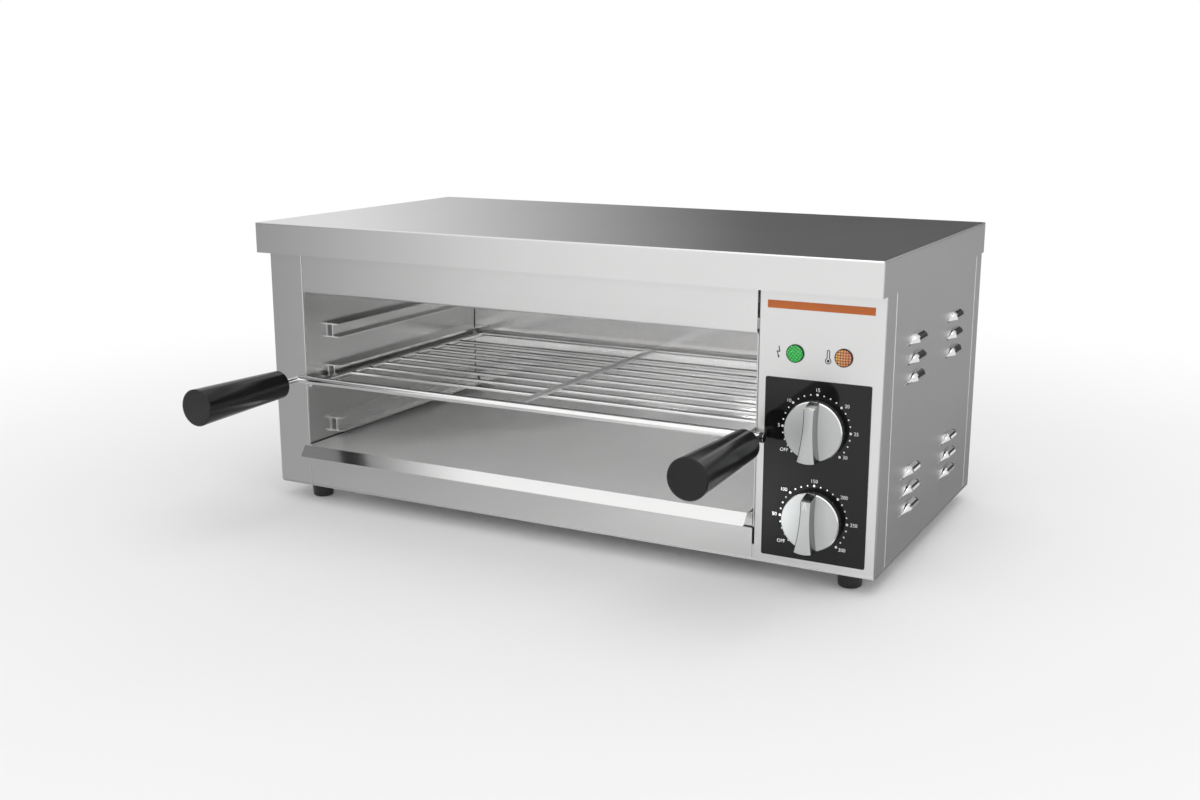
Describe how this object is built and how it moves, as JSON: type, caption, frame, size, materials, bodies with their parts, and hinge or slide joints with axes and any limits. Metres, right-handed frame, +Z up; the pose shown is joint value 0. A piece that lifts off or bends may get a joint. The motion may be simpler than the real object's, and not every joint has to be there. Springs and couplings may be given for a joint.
{
  "type": "countertop cheese melter",
  "caption": "Open-fronted stainless countertop grill with a pull-out wire rack between two long grips, a crumb tray, two rotary controls, pilot lamps and louvred side.",
  "frame": {"origin": "centre of the assembly's footprint at table height, grips and cable gland included", "axes": "+X to the user's right along the front, +Y to the back, +Z up"},
  "size_m": [0.614, 0.47, 0.272],
  "materials": {
    "stainless": "fine brushed stainless sheet",
    "cavity_steel": "smooth stainless sheet",
    "tray_steel": "bright stainless sheet",
    "rack_steel": "bright rod",
    "heater_sheath": "dark heated sheath",
    "ceramic": "glazed ceramic",
    "copper": "bare copper",
    "control_metal": "plated steel",
    "lens_green": "translucent lens",
    "lens_amber": "translucent lens",
    "lamp_black": "gloss",
    "white_plastic": "matt",
    "gland_plastic": "matt",
    "foot_rubber": "matt rubber",
    "screw_steel": "bright plated",
    "knob_silver": "satin silver",
    "knob_black": "gloss black",
    "grip_black": "gloss black",
    "dial_black": "gloss black",
    "stripe_orange": "satin"
  },
  "bodies": {
    "cabinet": {"top_cover": "stainless", "left_side_cover": "stainless", "right_side_cover": "stainless", "back_panel": "stainless", "base_pan": "stainless", "header_panel": "stainless", "lower_front_panel": "stainless", "control_fascia": "stainless", "dial_plate": "dial_black", "accent_stripe": "stripe_orange", "cavity_left_wall": "cavity_steel", "cavity_right_wall": "cavity_steel", "cavity_back_wall": "cavity_steel", "heat_reflector": "cavity_steel", "cavity_floor": "cavity_steel", "left_runners": "cavity_steel", "right_runners": "cavity_steel", "front_heater": "heater_sheath", "middle_heater": "heater_sheath", "rear_heater": "heater_sheath", "heater_insulators": "ceramic", "heater_hangers": "cavity_steel", "thermostat_bulb": "copper", "bulb_clips": "cavity_steel", "thermostat_body": "control_metal", "timer_body": "control_metal", "green_lens": "lens_green", "amber_lens": "lens_amber", "lamp_bezels": "lamp_black", "lamp_bodies": "white_plastic", "terminal_block": "white_plastic", "cable_gland": "gland_plastic", "gland_locknut": "gland_plastic", "feet": "foot_rubber", "foot_screws": "screw_steel", "casing_screws": "screw_steel"},
    "timer_dial": {"timer_knob": "knob_silver", "timer_knob_base": "knob_black", "timer_shaft": "screw_steel"},
    "thermostat_dial": {"thermostat_knob": "knob_silver", "thermostat_knob_base": "knob_black", "thermostat_shaft": "screw_steel"},
    "wire_rack": {"rack_front_bar": "rack_steel", "rack_side_rods": "rack_steel", "rack_rear_bar": "rack_steel", "rack_wires": "rack_steel", "rack_centre_strap": "rack_steel", "grip_rods": "rack_steel", "left_grip": "grip_black", "right_grip": "grip_black"},
    "tray": {"crumb_tray": "tray_steel"}
  },
  "joints": [
    {"name": "timer_turn", "type": "hinge", "parent": "cabinet", "child": "timer_dial", "pos_m": [0.2486, -0.088, 0.1325], "axis": [0, 1, 0], "range_deg": [-135, 135]},
    {"name": "thermostat_turn", "type": "hinge", "parent": "cabinet", "child": "thermostat_dial", "pos_m": [0.2486, -0.088, 0.0575], "axis": [0, 1, 0], "range_deg": [-135, 135]},
    {"name": "rack_slide", "type": "slide", "parent": "cabinet", "child": "wire_rack", "axis": [0, -1, 0], "range_m": [0, 0.24]},
    {"name": "tray_slide", "type": "slide", "parent": "cabinet", "child": "tray", "axis": [0, -1, 0], "range_m": [0, 0.25]}
  ]
}
